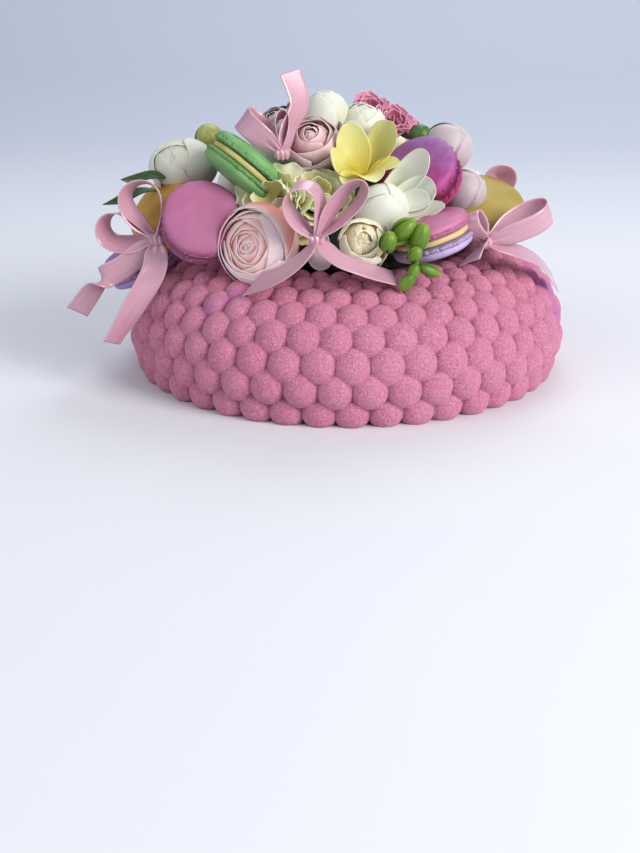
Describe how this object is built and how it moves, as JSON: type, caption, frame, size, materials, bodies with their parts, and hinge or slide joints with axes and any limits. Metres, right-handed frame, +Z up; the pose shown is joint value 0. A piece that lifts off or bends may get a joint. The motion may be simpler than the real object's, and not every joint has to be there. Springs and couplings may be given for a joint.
{
  "type": "mousse cake",
  "caption": "Round pink mousse cake moulded as rows of half balls, topped with a posy of flowers, macarons and satin bows.",
  "frame": {"origin": "on the axis of the cake, at its flat base", "axes": "+Z up along the axis of the cake, -Y towards the front of the posy, +X to its right seen from the front"},
  "size_m": [0.2666, 0.2388, 0.1641],
  "materials": {
    "cake": "velvety sprayed cocoa butter",
    "ribbon": "satin",
    "macaron_mauve_top": "matt baked shell",
    "macaron_mauve_cream": "soft cream",
    "macaron_mauve_base": "matt baked shell",
    "macaron_green_top": "matt baked shell",
    "macaron_green_cream": "soft cream",
    "macaron_green_base": "matt baked shell",
    "macaron_ochre_top": "matt baked shell",
    "macaron_ochre_cream": "soft cream",
    "macaron_ochre_base": "matt baked shell",
    "macaron_plum_top": "matt baked shell",
    "macaron_plum_cream": "soft cream",
    "macaron_plum_base": "matt baked shell",
    "macaron_rose_top": "matt baked shell",
    "macaron_rose_cream": "soft cream",
    "macaron_rose_base": "matt baked shell",
    "macaron_yellow_top": "matt baked shell",
    "macaron_yellow_cream": "soft cream",
    "macaron_yellow_base": "matt baked shell",
    "macaron_lilac_top": "matt baked shell",
    "macaron_lilac_cream": "soft cream",
    "macaron_lilac_base": "matt baked shell",
    "macaron_coral_top": "matt baked shell",
    "macaron_coral_cream": "soft cream",
    "macaron_coral_base": "matt baked shell",
    "pink_petals": "silky petals",
    "cream_petals": "silky petals",
    "yellow_petals": "silky petals",
    "white_petals": "silky petals",
    "ruffled_petals": "silky petals",
    "green_buds": "satin",
    "pale_pink_petals": "silky petals",
    "dark_pink_petals": "silky petals",
    "leaf": "satin",
    "stems": "matt"
  },
  "bodies": {
    "root": {"cake": "cake", "bow_front": "ribbon", "bow_right": "ribbon", "bow_top": "ribbon", "bow_behind": "ribbon", "bow_left": "ribbon", "macaron_mauve_top": "macaron_mauve_top", "macaron_mauve_cream": "macaron_mauve_cream", "macaron_mauve_base": "macaron_mauve_base", "macaron_green_top": "macaron_green_top", "macaron_green_cream": "macaron_green_cream", "macaron_green_base": "macaron_green_base", "macaron_ochre_top": "macaron_ochre_top", "macaron_ochre_cream": "macaron_ochre_cream", "macaron_ochre_base": "macaron_ochre_base", "macaron_plum_top": "macaron_plum_top", "macaron_plum_cream": "macaron_plum_cream", "macaron_plum_base": "macaron_plum_base", "macaron_rose_top": "macaron_rose_top", "macaron_rose_cream": "macaron_rose_cream", "macaron_rose_base": "macaron_rose_base", "macaron_yellow_top": "macaron_yellow_top", "macaron_yellow_cream": "macaron_yellow_cream", "macaron_yellow_base": "macaron_yellow_base", "macaron_lilac_top": "macaron_lilac_top", "macaron_lilac_cream": "macaron_lilac_cream", "macaron_lilac_base": "macaron_lilac_base", "macaron_coral_top": "macaron_coral_top", "macaron_coral_cream": "macaron_coral_cream", "macaron_coral_base": "macaron_coral_base", "bloom_pink_front": "pink_petals", "bloom_cream_small": "cream_petals", "freesia_yellow": "yellow_petals", "freesia_white_open": "white_petals", "bloom_ruffled": "ruffled_petals", "bloom_pink_top": "pink_petals", "bloom_white_left": "white_petals", "bud_green_left": "green_buds", "bud_pink_upper": "pale_pink_petals", "bud_pink_lower": "pale_pink_petals", "bud_green_right": "green_buds", "freesia_white_top_left": "white_petals", "freesia_white_top_right": "white_petals", "bloom_frilled": "dark_pink_petals", "bloom_pink_behind": "pink_petals", "bloom_back_pink": "pink_petals", "bloom_back_white": "white_petals", "bloom_back_ruffled": "ruffled_petals", "freesia_back_white": "white_petals", "freesia_back_yellow": "yellow_petals", "bud_back_green": "green_buds", "bloom_back_right": "pink_petals", "spray_of_buds": "green_buds", "petal_loose": "pale_pink_petals", "leaf_left_upper": "leaf", "leaf_left_lower": "leaf", "stems": "stems"}
  },
  "joints": []
}
